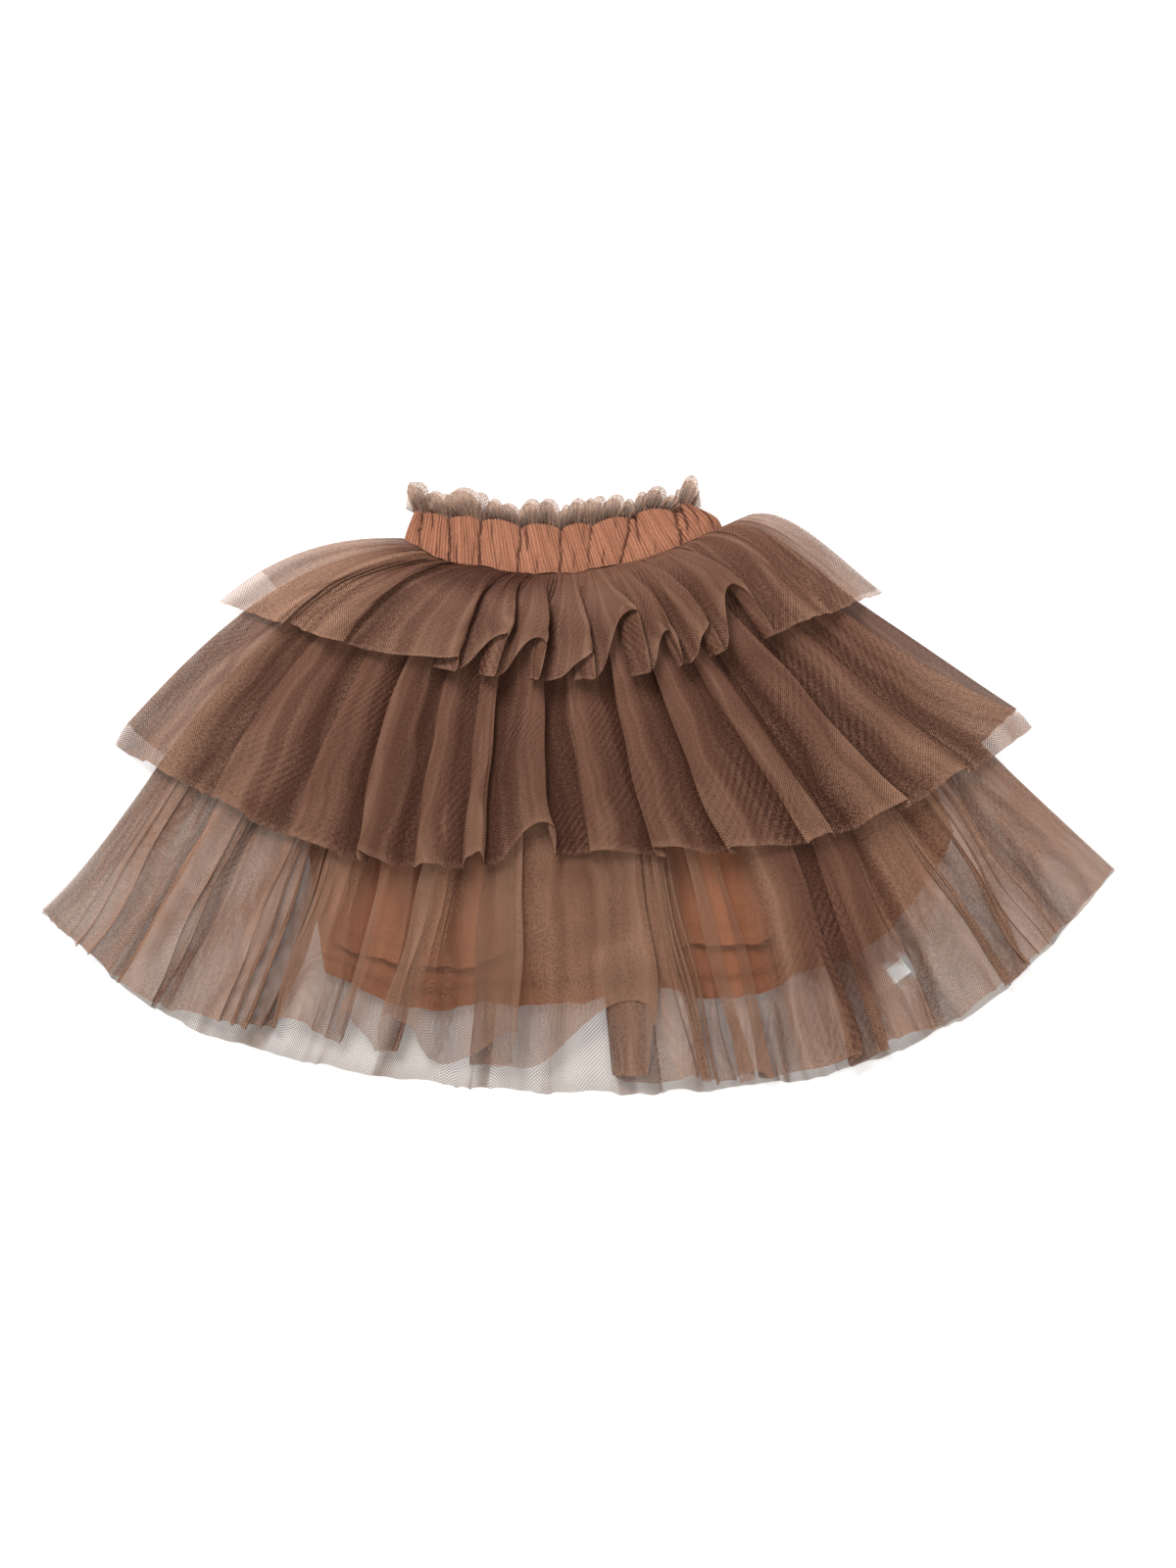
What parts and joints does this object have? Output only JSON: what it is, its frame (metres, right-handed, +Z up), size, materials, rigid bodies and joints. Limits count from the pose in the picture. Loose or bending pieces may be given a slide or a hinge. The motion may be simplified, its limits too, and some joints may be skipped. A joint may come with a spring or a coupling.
{
  "type": "tulle skirt",
  "caption": "Child's tulle skirt laid flat: gathered cotton band with a net frill over three tiers of gathered net and a cotton lining.",
  "frame": {"origin": "on the surface that the skirt lies on, under the middle of its bounding box", "axes": "+X to the right across the skirt, +Y from the hem to the waistband, +Z up from the surface"},
  "size_m": [0.734, 0.4162, 0.0378],
  "materials": {
    "net": "soft matte nylon net, brown mauve, gathered",
    "cotton": "crinkled woven cotton, terracotta",
    "ribbon": "plain white woven ribbon"
  },
  "bodies": {
    "root": {"tier1_back": "net", "tier2_back": "net", "tier3_back": "net", "lining_back": "cotton", "lining_front": "cotton", "tier3_front": "net", "tier2_front": "net", "tier1_front": "net", "band_front": "cotton", "frill_front": "net", "band_back": "cotton", "frill_back": "net", "label": "ribbon"}
  },
  "joints": []
}
